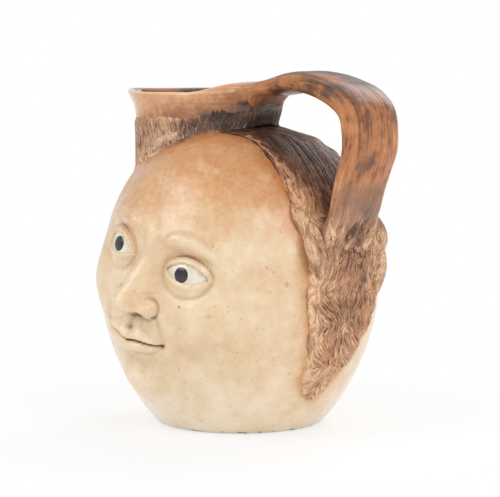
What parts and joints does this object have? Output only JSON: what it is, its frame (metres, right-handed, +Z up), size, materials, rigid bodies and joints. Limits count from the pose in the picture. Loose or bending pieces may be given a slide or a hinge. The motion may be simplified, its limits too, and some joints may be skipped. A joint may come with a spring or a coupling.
{
  "type": "stoneware face jug",
  "caption": "Salt-glazed stoneware jug with a calm relief face on each side, combed hair slabs, an oval neck with a pouring lip and an arched strap handle.",
  "frame": {"origin": "centre of the foot, on the plane the jug stands on", "axes": "+Z up out of the foot, +X to the handle, -X to the pouring lip, -Y to the front face, +Y to the back face"},
  "size_m": [0.1772, 0.18, 0.1871],
  "materials": {
    "cream_glaze": "cream salt glaze with fine brown specks",
    "tan_glaze": "tan salt glaze, browner towards the hair",
    "handle_glaze": "glossy streaked brown salt glaze",
    "brown_wash": "brown iron wash under salt glaze",
    "dark_wash": "dark brown iron wash under salt glaze",
    "white_slip": "glossy white slip",
    "black_slip": "glossy near-black slip"
  },
  "bodies": {
    "root": {"body_shell": "cream_glaze", "neck_collar": "tan_glaze", "strap_handle": "handle_glaze", "neck_hair": "brown_wash", "crown_hair": "dark_wash", "handle_side_hair": "brown_wash", "spout_side_hair": "brown_wash", "handle_lock_front": "brown_wash", "handle_lock_back": "brown_wash", "front_nose": "cream_glaze", "front_upper_lip": "cream_glaze", "front_lower_lip": "cream_glaze", "front_left_brow": "cream_glaze", "front_left_upper_lid": "cream_glaze", "front_left_lower_lid": "cream_glaze", "front_left_eyeball": "white_slip", "front_left_pupil": "black_slip", "front_right_brow": "cream_glaze", "front_right_upper_lid": "cream_glaze", "front_right_lower_lid": "cream_glaze", "front_right_eyeball": "white_slip", "front_right_pupil": "black_slip", "back_nose": "cream_glaze", "back_upper_lip": "cream_glaze", "back_lower_lip": "cream_glaze", "back_left_brow": "cream_glaze", "back_left_upper_lid": "cream_glaze", "back_left_lower_lid": "cream_glaze", "back_left_eyeball": "white_slip", "back_left_pupil": "black_slip", "back_right_brow": "cream_glaze", "back_right_upper_lid": "cream_glaze", "back_right_lower_lid": "cream_glaze", "back_right_eyeball": "white_slip", "back_right_pupil": "black_slip"}
  },
  "joints": []
}
